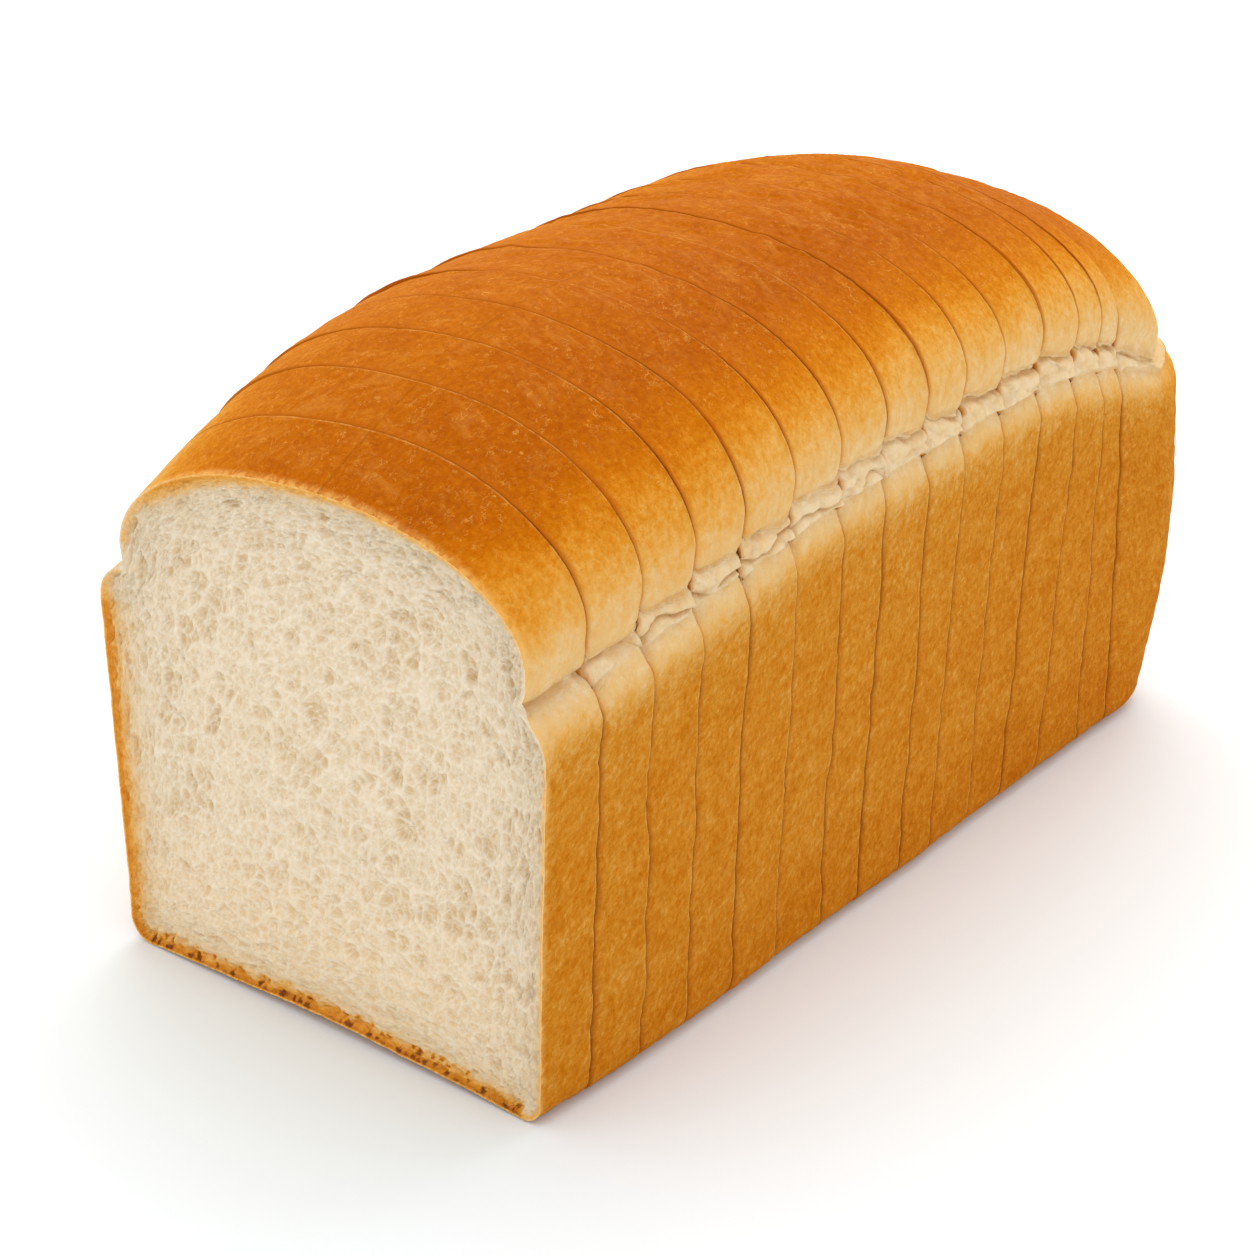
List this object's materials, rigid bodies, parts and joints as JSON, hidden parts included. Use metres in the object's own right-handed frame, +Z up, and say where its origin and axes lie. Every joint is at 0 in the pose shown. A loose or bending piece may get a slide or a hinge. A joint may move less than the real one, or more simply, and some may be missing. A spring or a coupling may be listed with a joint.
{
  "type": "sliced tin loaf",
  "caption": "Sliced white tin loaf with a golden domed crown, its slices standing together in a row behind an open cut face, closed by a rounded end piece.",
  "frame": {"origin": "on the ground, under the middle of the loaf's bounding box", "axes": "+Y along the loaf from its open cut face to its rounded end piece, +X to the right as seen facing the cut face, +Z up"},
  "size_m": [0.1168, 0.2316, 0.1351],
  "materials": {
    "bread": "baked bread: golden brown crust over cream crumb"
  },
  "bodies": {
    "root": {"slice_01": "bread", "slice_02": "bread", "slice_03": "bread", "slice_04": "bread", "slice_05": "bread", "slice_06": "bread", "slice_07": "bread", "slice_08": "bread", "slice_09": "bread", "slice_10": "bread", "slice_11": "bread", "slice_12": "bread", "slice_13": "bread", "slice_14": "bread", "end_slice": "bread"}
  },
  "joints": []
}
